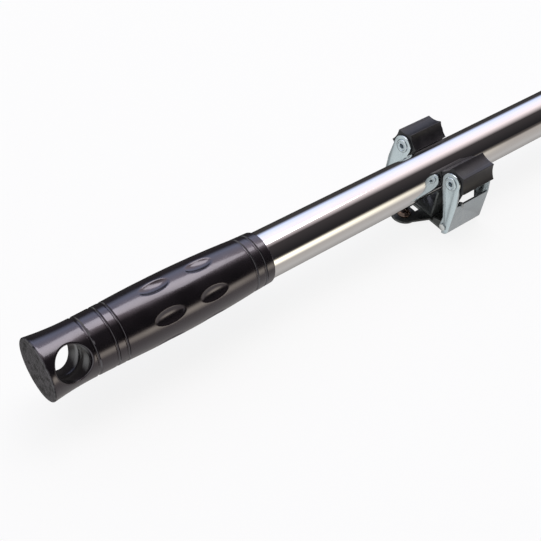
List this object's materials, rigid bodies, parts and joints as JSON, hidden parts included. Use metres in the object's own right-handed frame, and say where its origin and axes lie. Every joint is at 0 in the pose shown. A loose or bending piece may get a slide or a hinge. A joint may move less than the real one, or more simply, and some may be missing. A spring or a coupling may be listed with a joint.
{
  "type": "breaker bar",
  "caption": "Breaker bar with a moulded grip, plain tube and swivelling square drive, held in a wall clip with sprung roller arms.",
  "frame": {"origin": "centre of the clip's wall face", "axes": "+X along the bar from the grip to the drive, +Y across the bar towards the far arm, +Z away from the wall"},
  "size_m": [0.6102, 0.0556, 0.059],
  "materials": {
    "grip_plastic": "glossy moulded",
    "tube_chrome": "polished",
    "forged_steel": "satin chrome",
    "pin_steel": "plain turned",
    "ball_steel": "polished",
    "spring_steel": "drawn wire",
    "zinc_sheet": "bright zinc plated sheet",
    "black_sheet": "satin black",
    "screw_brass": "yellow passivated",
    "roller_rubber": "satin moulded rubber"
  },
  "bodies": {
    "clip_base": {"base_plate": "black_sheet", "cradle": "black_sheet", "cradle_rivets": "pin_steel", "mounting_screws": "screw_brass", "hinge_pin_far": "pin_steel", "hinge_pin_near": "pin_steel"},
    "bar": {"grip_shell": "grip_plastic", "handle_tube": "tube_chrome", "fork_yoke": "forged_steel", "cross_pin": "pin_steel", "pivot_pin": "pin_steel", "friction_ball": "ball_steel", "friction_spring": "spring_steel"},
    "drive": {"drive_head": "forged_steel", "lock_spring": "spring_steel"},
    "detent": {"lock_ball": "ball_steel"},
    "far_arm": {"arm_far": "zinc_sheet", "torsion_spring_far": "spring_steel", "axle_rivet_far": "zinc_sheet"},
    "far_roller": {"roller_far": "roller_rubber", "roller_sleeve_far": "pin_steel"},
    "near_arm": {"arm_near": "zinc_sheet", "torsion_spring_near": "spring_steel", "axle_rivet_near": "zinc_sheet"},
    "near_roller": {"roller_near": "roller_rubber", "roller_sleeve_near": "pin_steel"}
  },
  "joints": [
    {"name": "bar_lift", "type": "slide", "parent": "clip_base", "child": "bar", "axis": [0, 0, 1], "range_m": [0, 0.035]},
    {"name": "drive_swivel", "type": "hinge", "parent": "bar", "child": "drive", "pos_m": [0.3248, 0, 0.0275], "axis": [0, 1, 0], "range_deg": [-90, 90]},
    {"name": "lock_ball_press", "type": "slide", "parent": "drive", "child": "detent", "axis": [0, 0, -1], "range_m": [0, 0.0007], "stiffness_N_per_m": 250, "springref_m": -0.002},
    {"name": "far_arm_swing", "type": "hinge", "parent": "clip_base", "child": "far_arm", "pos_m": [0, 0.0224, 0.0043], "axis": [-1, 0, 0], "range_deg": [0, 20], "stiffness_Nm_per_rad": 0.6, "springref_deg": -22.92},
    {"name": "far_roller_spin", "type": "hinge", "parent": "far_arm", "child": "far_roller", "pos_m": [0, 0.0189, 0.0339], "axis": [-1, 0, 0], "continuous": true},
    {"name": "near_arm_swing", "type": "hinge", "parent": "clip_base", "child": "near_arm", "pos_m": [0, -0.0224, 0.0043], "axis": [1, 0, 0], "range_deg": [0, 20], "stiffness_Nm_per_rad": 0.6, "springref_deg": -22.92},
    {"name": "near_roller_spin", "type": "hinge", "parent": "near_arm", "child": "near_roller", "pos_m": [0, -0.0189, 0.0339], "axis": [1, 0, 0], "continuous": true}
  ],
  "couplings": [
    {"joint": "far_arm_swing", "follows": "bar_lift", "rad_per_m": 9.5},
    {"joint": "far_roller_spin", "follows": "bar_lift", "rad_per_m": 40},
    {"joint": "near_arm_swing", "follows": "bar_lift", "rad_per_m": 9.5},
    {"joint": "near_roller_spin", "follows": "bar_lift", "rad_per_m": 40}
  ]
}
